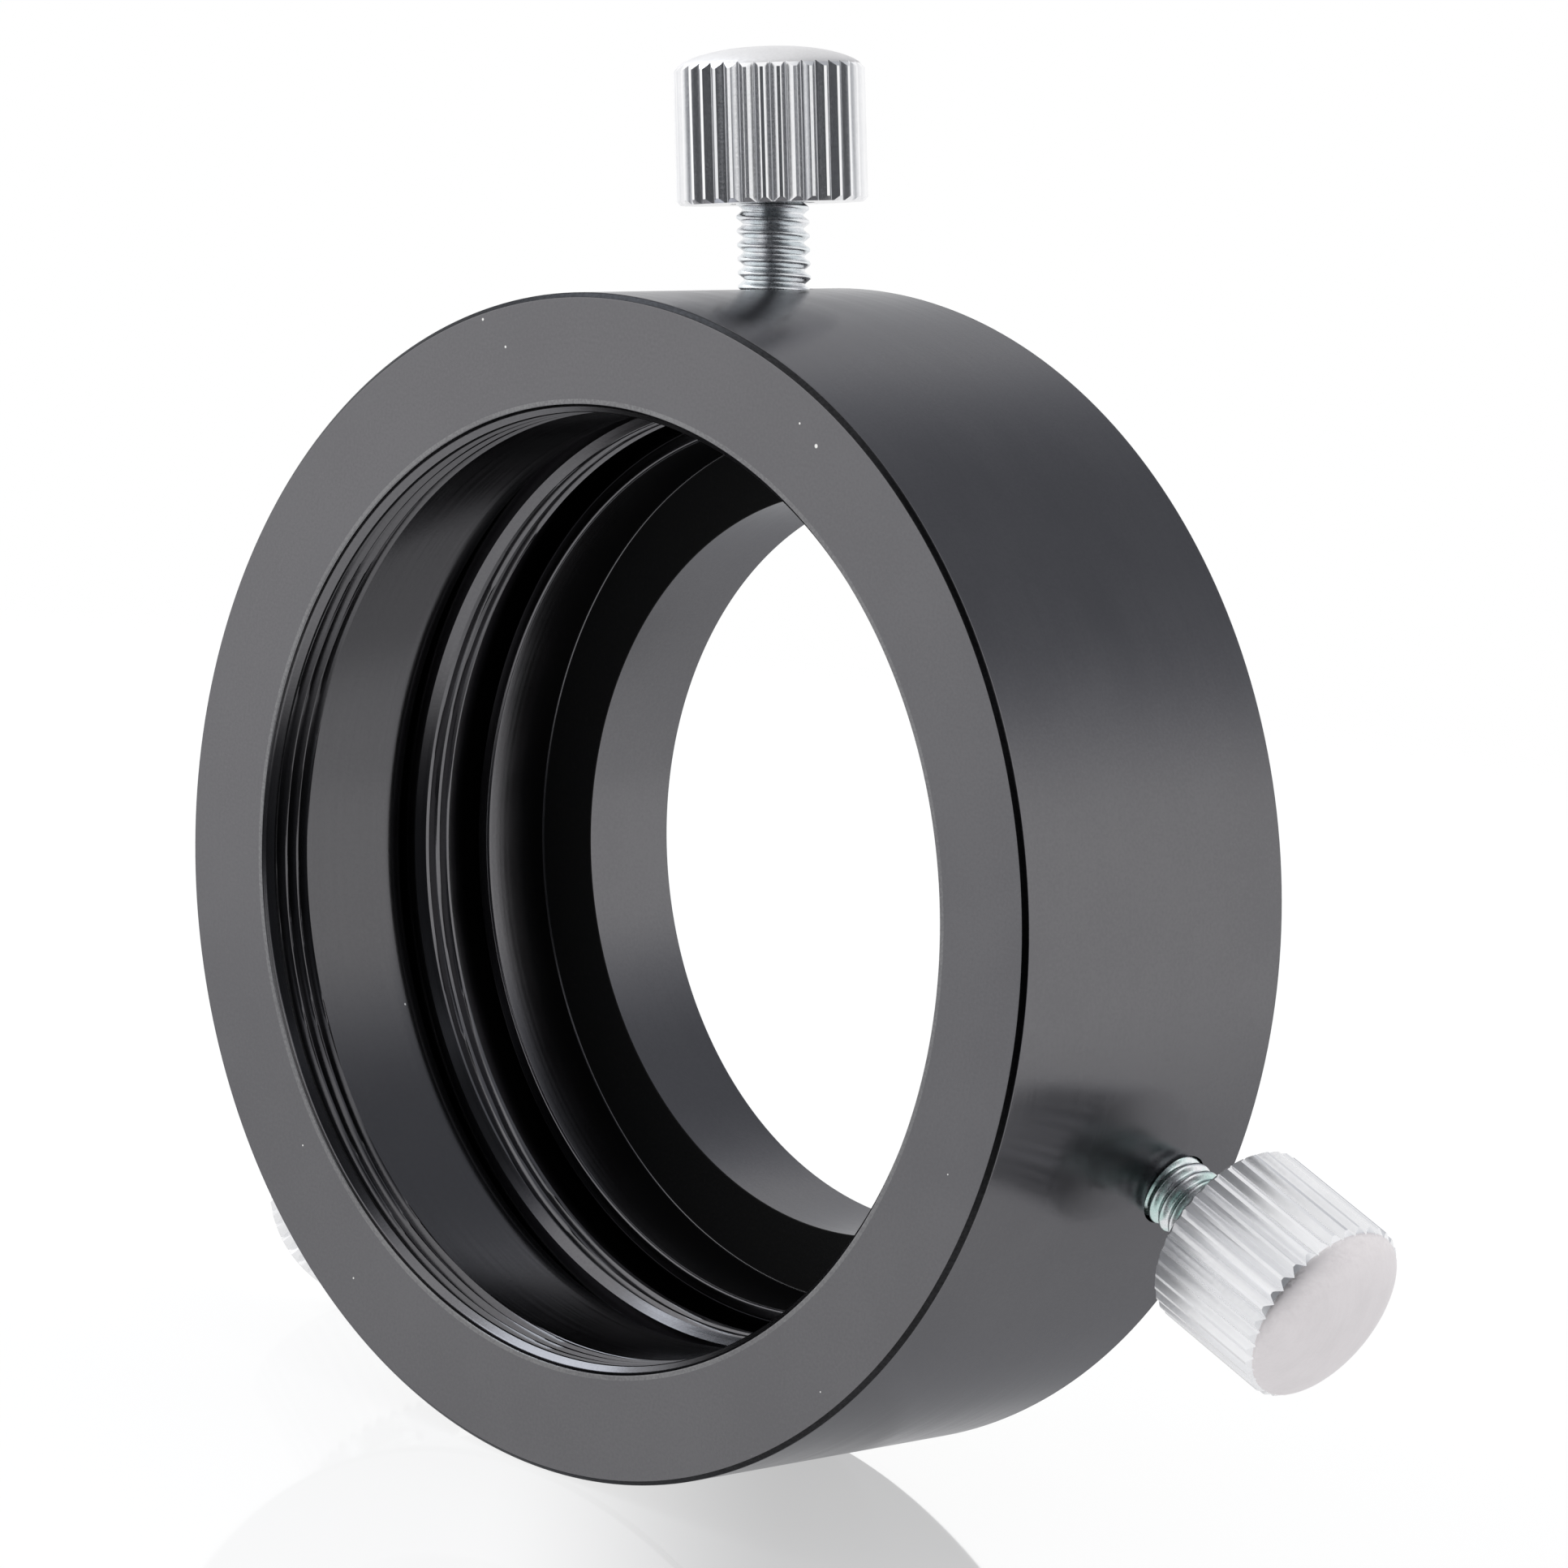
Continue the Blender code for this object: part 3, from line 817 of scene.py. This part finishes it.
@dataclass
class CameraAdapter:
    """The camera adapter: a nose inside the ring, a flange, and a male thread behind."""

    nose_radius: float = 23.7 * MM
    nose_bevel: float = 0.3 * MM
    bore_radius: float = 22.7 * MM
    bore_bevel: float = 0.09 * MM
    start: float = 14.78 * MM
    step: float = 18.85 * MM
    corner: float = 0.13 * MM
    aperture_radius: float = 19.1 * MM
    aperture_bevel: float = 0.25 * MM
    flange_radius: float = 26.3 * MM
    flange_edge: float = 0.3 * MM
    flange_start: float = 18.75 * MM
    flange_end: float = 20.55 * MM
    thread_radius: float = 21.0 * MM
    thread_bevel: float = 0.4 * MM
    relief: float = 0.3 * MM
    thread_pitch: float = 0.75 * MM
    thread_depth: float = 0.42 * MM
    end: float = 24.8 * MM
    deburr: float = 0.05 * MM
    steps: int = 256

    def thread(self) -> Thread:
        """Return the camera thread."""
        return Thread(self.thread_radius, self.thread_pitch, self.thread_depth, self.flange_end + self.relief,
                      self.end - self.thread_bevel, Cut.OUTSIDE, run_in=0.5, run_out=0.2)

    def section(self) -> Section:
        """Return the adapter's section."""
        rest = Bench.rounded([
            (self.thread_radius - self.thread_bevel, self.end),
            (self.aperture_radius + self.aperture_bevel, self.end),
            (self.aperture_radius, self.end - self.aperture_bevel),
            (self.aperture_radius, self.step),
            *self.fillet(),
            (self.bore_radius, self.start + self.bore_bevel),
            (self.bore_radius + self.bore_bevel, self.start),
            (self.nose_radius - self.nose_bevel, self.start),
            (self.nose_radius, self.start + self.nose_bevel),
            (self.nose_radius, self.flange_start),
            (self.flange_radius - self.flange_edge, self.flange_start),
            (self.flange_radius, self.flange_start + self.flange_edge),
            (self.flange_radius, self.flange_end - self.flange_edge),
            (self.flange_radius - self.flange_edge, self.flange_end),
            (self.thread_radius, self.flange_end),
        ], self.deburr)
        points = rest + self.thread().rows()
        points.append(points[0])
        return points

    def fillet(self, steps: int = 5) -> Section:
        """Return the rounded corner between the step and the bore, from the step on."""
        middle = (self.bore_radius - self.corner, self.step - self.corner)
        turns = [pi / 2.0 * (1.0 - at / steps) for at in range(steps + 1)]
        return [(middle[0] + self.corner * cos(turn), middle[1] + self.corner * sin(turn)) for turn in turns]

    def build(self, axes: Matrix) -> Piece:
        """Build the adapter and put it in its place."""
        piece = Bench.turn("adapter_body", self.section(), self.steps)
        self.thread().cut(piece)
        Bench.place(piece, axes)
        Bench.smooth(piece, 30.0)
        return piece

    def painted_shade_step(self) -> Band:
        """Return where the step gets its painted shade."""
        return self.aperture_radius, self.bore_radius, self.step - 0.02 * MM, self.step + 0.06 * MM


@dataclass
class ThumbScrew:
    """A knurled knob on a threaded stud, modelled along its own Z axis from the optical axis."""

    side: Side
    backed_off: float = 0.0
    knob_bottom: float = 33.3 * MM
    knob_radius: float = 4.86 * MM
    knob_height: float = 6.93 * MM
    dome_height: float = 0.98 * MM
    bevel: float = 0.22 * MM
    bore_depth: float = 4.5 * MM
    bore_radius: float = 2.15 * MM
    flutes: int = 36
    flute_depth: float = 0.28 * MM
    flute_land: float = 0.24
    flute_slope: float = 0.70
    points_per_flute: int = 10
    stud_radius: float = 1.85 * MM
    stud_bottom: float = 27.02 * MM
    stud_top: float = 37.5 * MM
    stud_bevel: float = 0.3 * MM
    stud_pitch: float = 0.7 * MM
    stud_depth: float = 0.30 * MM
    pin_radius: float = 1.0 * MM
    pin_depth: float = 1.5 * MM

    def dome(self, steps: int = 14) -> Section:
        """Return the dome's section, from its middle to just inside the bevel."""
        edge = self.knob_radius - self.bevel
        base = self.knob_bottom + self.knob_height
        outs = [sin(pi / 2.0 * step / steps) for step in range(steps)]
        return [(edge * out, base + self.dome_height * (1.0 - out ** 2.3) ** 0.72) for out in outs]

    def blank(self) -> Piece:
        """Turn the knob's blank, a little wider than its flutes."""
        top = self.knob_bottom + self.knob_height
        edge = self.knob_radius - self.bevel
        spare = self.flute_depth
        section = self.dome() + [
            (edge, top),
            (self.knob_radius + spare, top - self.bevel - spare),
            (self.knob_radius + spare, self.knob_bottom + self.bevel + spare),
            (edge, self.knob_bottom),
            (self.bore_radius, self.knob_bottom),
            (self.bore_radius, self.knob_bottom + self.bore_depth),
            (0.0, self.knob_bottom + self.bore_depth),
        ]
        return Bench.turn("knob_" + self.side.value + "_grip", section, 144)

    def fluted_bar(self) -> Piece:
        """Extrude a round bar whose outline is pushed in to rounded vee flutes."""
        Bench.clear()
        low = self.knob_bottom - self.bevel
        high = self.knob_bottom + self.knob_height + self.dome_height + self.bevel
        points = self.flutes * self.points_per_flute
        bpy.ops.mesh.primitive_circle_add(vertices=points, radius=self.knob_radius, fill_type="NGON",
                                          location=(0.0, 0.0, 0.0))
        bar = bpy.context.active_object
        for corner in bar.data.vertices:
            turn = atan2(corner.co.y, corner.co.x) / tau * self.flutes % 1.0
            vee = 1.0 - abs(turn - 0.5) * 2.0
            depth = self.flute_depth * min(1.0, max(0.0, (vee - self.flute_land) / self.flute_slope))
            corner.co *= 1.0 - depth / self.knob_radius
            corner.co.z = low
        bpy.ops.object.mode_set(mode="EDIT")
        bpy.ops.mesh.select_all(action="SELECT")
        bpy.ops.mesh.extrude_region_move(TRANSFORM_OT_translate={"value": (0.0, 0.0, high - low)})
        Bench.close_skin()
        return bar

    def axes(self, middle: Vector, outward: Vector) -> Matrix:
        """Return the screw's own axes in the frame.

        Args:
            middle: where the screws' axes meet on the optical axis.
            outward: the screw's direction.
        """
        along = Vector((0.0, 1.0, 0.0))
        across = along.cross(outward)
        turn = Matrix((along, across, outward)).transposed().to_4x4()
        return Matrix.Translation(middle + outward * self.backed_off) @ turn

    def build_knob(self, axes: Matrix) -> Piece:
        """Build the knob: the blank and the fluted bar's common solid."""
        knob = self.blank()
        Bench.boolean(knob, self.fluted_bar(), "INTERSECT")
        Bench.place(knob, axes)
        Bench.smooth(knob, 24.0)
        return knob

    def build_stud(self, axes: Matrix) -> Piece:
        """Build the threaded stud, with the blind hole for the tip's pin."""
        start, end = self.stud_bottom + self.stud_bevel, self.stud_top - self.stud_bevel
        thread = Thread(self.stud_radius, self.stud_pitch, self.stud_depth, start, end, Cut.OUTSIDE,
                        run_in=0.3, run_out=0.3)
        section = [
            (0.0, self.stud_bottom + self.pin_depth),
            (self.pin_radius, self.stud_bottom + self.pin_depth),
            (self.pin_radius, self.stud_bottom),
            (self.stud_radius - self.stud_bevel, self.stud_bottom),
        ]
        section += thread.rows()
        section += [(self.stud_radius - self.stud_bevel, self.stud_top), (0.0, self.stud_top)]
        stud = Bench.turn("stud_" + self.side.value + "_thread", section, 56)
        thread.cut(stud)
        Bench.place(stud, axes)
        Bench.smooth(stud, 50.0)
        return stud

    def matte_end(self) -> Band:
        """Return where the domed end is."""
        base = self.knob_bottom + self.knob_height
        return -MERGE, self.knob_radius, base - 0.01 * MM, base + self.dome_height + MERGE


# ---------------------------------------------------------------- studio


@dataclass(frozen=True)
class Gap:
    """A part of the white surround that reflections see darker or lighter, with a soft edge.

    It ends above the angle `top`, over the next `fade` degrees.
    """

    azimuth: float
    height: float
    inner: float
    outer: float
    level: float
    top: float = 90.0
    fade: float = 8.0

    def towards(self) -> tuple[float, float, float]:
        """Return the gap's direction. Azimuth 0 is in front of the part and 90 on its right."""
        azimuth, height = radians(self.azimuth), radians(self.height)
        return (sin(azimuth) * cos(height), -cos(azimuth) * cos(height), sin(height))


@dataclass
class Studio:
    """A white gloss table, a white surround with soft dark gaps, and a soft lamp."""

    table_radius: float = 0.17
    table_fade: float = 0.05
    table_middle: tuple[float, float] = (-0.060, 0.060)
    table_colour: Colour = (0.14, 0.14, 0.14)
    table_glow: float = 0.76
    camera_glow: float = 0.14
    polish_side: tuple[float, float, float] = (0.711, 0.703, 0.0)
    polish_start: tuple[float, float] = (-0.013, 0.003)
    polish_least: float = 0.15
    polish_reach: tuple[float, float] = (0.050, 0.085)
    polish_index: float = 1.55
    polish_gain: float = 1.9
    polish_roughness: float = 0.05
    # Painted shadow of the part on the table, which only reflections see.
    shade_middle: tuple[float, float] = (-0.004, 0.030)
    shade_reach: tuple[float, float] = (0.008, 0.024)
    shade_level: float = 0.62
    world_strength: float = 0.70
    gap_tint: Colour = (0.93, 0.98, 1.10)
    gaps: tuple[Gap, ...] = (
        Gap(44.0, -4.0, 31.0, 48.0, 0.025, top=27.0),
        Gap(84.0, -6.0, 16.0, 30.0, 0.15, top=3.0),
        Gap(24.0, 48.0, 12.0, 27.0, 0.03),
        Gap(168.0, 46.0, 6.0, 40.0, 0.35),
        Gap(-27.0, -20.0, 11.0, 23.0, 0.74),
        Gap(-60.0, 14.0, 8.0, 36.0, 1.20),
    )
    lamp_tint: Colour = (0.85, 0.92, 1.0)
    camera_place: tuple[float, float, float] = (0.2450867, -0.2589033, 0.0996595)
    camera_turn: tuple[float, float, float] = (79.60199, -5.69767, 44.69525)
    lens: float = 165.7506

    def table(self) -> None:
        """Lay the table, whose white fades into the white surround and which mirrors the part's near side."""
        Bench.clear()
        bpy.ops.mesh.primitive_circle_add(vertices=96, radius=self.table_radius, fill_type="NGON",
                                          location=(*self.table_middle, -0.00003))
        top = bpy.context.active_object
        top.name = "table"
        Bench.place(top, top.matrix_world.copy())
        work = Palette("table_gloss")
        place = work.add("TexCoord").outputs["Object"]
        away = work.measure("DISTANCE", place, (*self.table_middle, 0.0))
        fade = work.ramp(away, self.table_radius - self.table_fade, self.table_radius * 0.98)
        light = work.add("LightPath")
        glow = work.add("Emission", {"Color": (1.0, 1.0, 1.0, 1.0)})
        # Painted shadow: near and behind the part the table glows less for reflections, while camera rays see
        # it at full glow.
        under = work.measure("DISTANCE", place, (*self.shade_middle, 0.0))
        shade = work.ramp(under, *self.shade_reach, self.shade_level)
        seen = work.maths("MAXIMUM", shade, light.outputs["Is Camera Ray"])
        lift = work.maths("MULTIPLY", light.outputs["Is Camera Ray"], self.camera_glow)
        level = work.maths("ADD", lift, self.table_glow)
        work.join(work.maths("MULTIPLY", level, seen), glow.inputs["Strength"])
        matte = work.add("BsdfDiffuse", {"Color": (*self.table_colour, 1.0)})
        lit = work.add("AddShader")
        work.join(matte.outputs[0], lit.inputs[0])
        work.join(glow.outputs[0], lit.inputs[1])
        along = work.measure("DOT_PRODUCT", place, self.polish_side)
        side = work.ramp(along, *self.polish_start, self.polish_least)
        near = work.ramp(work.measure("DISTANCE", place, (0.0, 0.0, 0.0)), *self.polish_reach, 1.0, 0.0)
        sheen = work.maths("MULTIPLY", side, near)
        fresnel = work.add("Fresnel", {"IOR": self.polish_index})
        facing = work.maths("MULTIPLY", fresnel.outputs[0], self.polish_gain, True)
        mirror = work.add("BsdfGlossy", {"Color": (1.0, 1.0, 1.0, 1.0), "Roughness": self.polish_roughness})
        polished = work.add("MixShader")
        work.join(work.maths("MULTIPLY", sheen, facing), polished.inputs[0])
        work.join(lit.outputs[0], polished.inputs[1])
        work.join(mirror.outputs[0], polished.inputs[2])
        clear = work.add("BsdfTransparent")
        mixed = work.add("MixShader")
        work.join(fade, mixed.inputs[0])
        work.join(polished.outputs[0], mixed.inputs[1])
        work.join(clear.outputs[0], mixed.inputs[2])
        work.join(mixed.outputs[0], work.tree.nodes["Material Output"].inputs["Surface"])
        top.data.materials.append(work.owner)

    def surround(self) -> None:
        """Light the surround: white to the camera, and with soft dark sides to reflections."""
        work = Palette("surround", world=True)
        bpy.context.scene.world = work.owner
        back = work.tree.nodes["Background"]
        coordinates = work.add("TexCoord")
        height = work.add("SeparateXYZ")
        work.join(coordinates.outputs["Generated"], height.inputs[0])
        bright: object = 1.0
        for gap in self.gaps:
            facing = work.measure("DOT_PRODUCT", coordinates.outputs["Generated"], gap.towards())
            outer, inner = (cos(radians(angle)) for angle in (gap.outer, gap.inner))
            shade = work.ramp(facing, outer, inner, 1.0, gap.level)
            if gap.top < 90.0:
                low, high = (sin(radians(angle)) for angle in (gap.top, gap.top + gap.fade))
                shade = work.maths("MAXIMUM", shade, work.ramp(height.outputs[2], low, high))
            bright = work.maths("MULTIPLY", shade, bright)
        light = work.add("LightPath")
        mirror = work.maths("ADD", light.outputs["Is Glossy Ray"], light.outputs["Is Transmission Ray"], True)
        gloss = work.add("Mix", data_type="FLOAT")
        work.join(mirror, gloss.inputs[0])
        gloss.inputs[2].default_value = self.world_strength
        work.join(bright, gloss.inputs[3])
        seen = work.add("Mix", data_type="FLOAT")
        work.join(light.outputs["Is Camera Ray"], seen.inputs[0])
        work.join(gloss.outputs[0], seen.inputs[2])
        seen.inputs[3].default_value = 1.0
        white = work.maths("MAXIMUM", bright, light.outputs["Is Camera Ray"], True)
        work.join(work.blend(white, self.gap_tint, (1.0, 1.0, 1.0)), back.inputs["Color"])
        work.join(seen.outputs[0], back.inputs["Strength"])

    def softbox(self, name: str, place: Vector, size: float, power: float) -> None:
        """Hang a square lamp that faces the part.

        Args:
            name: the lamp's name.
            place: where it hangs.
            size: its width.
            power: in watts.
        """
        Bench.clear()
        aim = (Vector((0.0, 0.0, 0.03)) - place).to_track_quat("-Z", "Y").to_euler()
        bpy.ops.object.light_add(type="AREA", location=place, rotation=aim)
        lamp = bpy.context.active_object
        lamp.name = name
        lamp.data.size = size
        lamp.data.energy = power
        lamp.data.color = self.lamp_tint

    def camera(self) -> None:
        """Set up the camera at the photograph's viewing angle."""
        Bench.clear()
        turn = Euler([radians(angle) for angle in self.camera_turn], "XYZ")
        bpy.ops.object.camera_add(location=self.camera_place, rotation=turn)
        camera = bpy.context.active_object
        camera.data.lens = self.lens
        camera.data.sensor_width = 36.0
        camera.data.clip_start = 0.01
        bpy.context.scene.camera = camera

    def build(self) -> None:
        """Set up the whole studio."""
        self.table()
        self.surround()
        self.softbox("softbox_left", Vector((-0.410, -0.110, 0.430)), 0.30, 0.80)
        self.camera()
        bpy.context.scene.view_settings.view_transform = "Standard"


# ---------------------------------------------------------------- the part


class Rotator:
    """The whole part: it reads where the frame's pieces stand, builds them and dresses them."""

    SPECKS: tuple[Speck, ...] = (
        Speck(9.78, -12.40, 53.86, 0.13), Speck(8.55, -12.40, 54.75, 0.07),
        Speck(9.36, -12.25, 56.60, 0.11), Speck(-7.86, -12.30, 53.20, 0.10),
        Speck(-9.10, -12.32, 52.85, 0.06), Speck(-13.90, -12.40, 56.30, 0.09),
        Speck(-12.10, -12.40, 55.20, 0.08), Speck(-17.20, -12.30, 48.80, 0.07),
        Speck(-23.70, -4.05, 18.43, 0.10), Speck(-21.60, -12.40, 12.10, 0.06),
        Speck(-16.90, -12.38, 6.20, 0.07), Speck(12.30, -12.35, 4.60, 0.06),
        Speck(23.10, -12.40, 21.30, 0.05), Speck(16.40, -12.40, 8.90, 0.05),
        Speck(-24.90, -12.40, 38.60, 0.05),
    )

    BACKED_OFF: dict[Side, float] = {Side.TOP: 0.525 * MM}

    def __init__(self) -> None:
        """Read the optical axis and the screws' directions from the frame."""
        low, high = (Vector(corner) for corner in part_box("outer_ring"))
        self.front = Vector(((low.x + high.x) / 2.0, low.y, (low.z + high.z) / 2.0))
        self.axes = Matrix.Translation(self.front) @ Matrix.Rotation(-pi / 2.0, 4, "X")
        joints = {joint["name"]: joint for joint in frame["joints"]}
        self.outward = {
            side: Vector(joints[side.value + "_tip_travel"]["axis"]).normalized() for side in Side}

    @staticmethod
    def adopt(piece: Piece, node: str, body: str, slot: str, material: bpy.types.Material) -> None:
        """Dress a piece and hand it to the frame.

        Args:
            piece: the finished piece.
            node: the solid that it stands for.
            body: the body that it rides on.
            slot: the record's material slot, not used.
            material: its finish.
        """
        piece.data.materials.append(material)
        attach(piece, body)
        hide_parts(node)
        log.info("%s: %d faces, rides on %s", piece.name, len(piece.data.polygons), body)

    @staticmethod
    def dress(node: Piece, material: bpy.types.Material) -> None:
        """Give one of the frame's own solids a finish all over.

        Args:
            node: the solid.
            material: its finish.
        """
        if not node.material_slots:
            node.data.materials.append(material)
        for slot in node.material_slots:
            slot.material = material
        log.info("%s: dressed in %s", node.name, material.name)

    def build_rings(self) -> None:
        """Build the housing, the captive ring and the camera adapter."""
        housing = OuterRing()
        shell = housing.build(self.axes, [self.outward[side] for side in Side])
        # The housing's bore gets painted shade: its colour is darker inside 24.6 mm.
        finish = BlackAnodised("housing_anodised", bore_radius=24.6 * MM)
        self.adopt(shell, "outer_ring", "housing", "housing_anodised", finish.make(self.axes, self.SPECKS))
        rubbed = BlackAnodised("edge_rubbed", (0.175, 0.173, 0.18), (0.24, 0.24, 0.245), roughness=0.24)
        Bench.coat(shell, self.axes, rubbed.make(self.axes), housing.rubbed_edge())
        # Painted shade: the outer chamfer and the line where the cone meets the thread are coloured near
        # black.
        painted_edge_shade = BlackAnodised("chamfer_painted_shade", (0.020, 0.020, 0.021), (0.032, 0.032, 0.034), roughness=0.28)
        Bench.coat(shell, self.axes, painted_edge_shade.make(self.axes), housing.chamfer(), housing.thread_lead())
        self.adopt(RotatingRing().build(self.axes), "rotating_ring", "rotor", "ring_anodised",
                   BlackAnodised("ring_anodised").make(self.axes))
        adapter = CameraAdapter()
        body = adapter.build(self.axes)
        self.adopt(body, "camera_adapter", "rotor", "adapter_anodised",
                   BlackAnodised("adapter_anodised").make(self.axes))
        # The adapter's step is coloured near black as painted shade.
        Bench.coat(body, self.axes, PaintedStepShade().make(self.axes), adapter.painted_shade_step())

    def build_screws(self) -> None:
        """Build the three thumbscrews and dress their tips."""
        middle = self.front + Vector((0.0, OuterRing.hole_height, 0.0))
        for side in Side:
            screw = ThumbScrew(side, self.BACKED_OFF.get(side, 0.0))
            axes = screw.axes(middle, self.outward[side])
            body = side.value + "_screw"
            finish_and_shade = SCREW_FINISH_AND_SHADE[side]
            bright = BrightAluminium("knob_aluminium_" + side.value, satin=finish_and_shade.satin)
            matte = BrightAluminium("knob_end_" + side.value, finish_and_shade.end_colour, finish_and_shade.end_roughness, marks=0.35)
            knob = screw.build_knob(axes)
            self.adopt(knob, "knob_" + side.value, body, "knob_aluminium", bright.make(axes))
            Bench.coat(knob, axes, matte.make(axes), screw.matte_end())
            self.adopt(screw.build_stud(axes), "stud_" + side.value, body, "stud_zinc",
                       ZincPlate("stud_zinc_" + side.value, tint=finish_and_shade.passivation).make(axes))
            self.dress(frame["nodes"]["tip_" + side.value], Nylon("tip_nylon_" + side.value).make(axes))


def main() -> None:
    """Build the rotator, then the studio."""
    logging.basicConfig(level=logging.INFO, format="%(name)s: %(message)s")
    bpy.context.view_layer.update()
    part = Rotator()
    part.build_rings()
    part.build_screws()
    Studio().build()


if __name__ == "__main__":
    main()
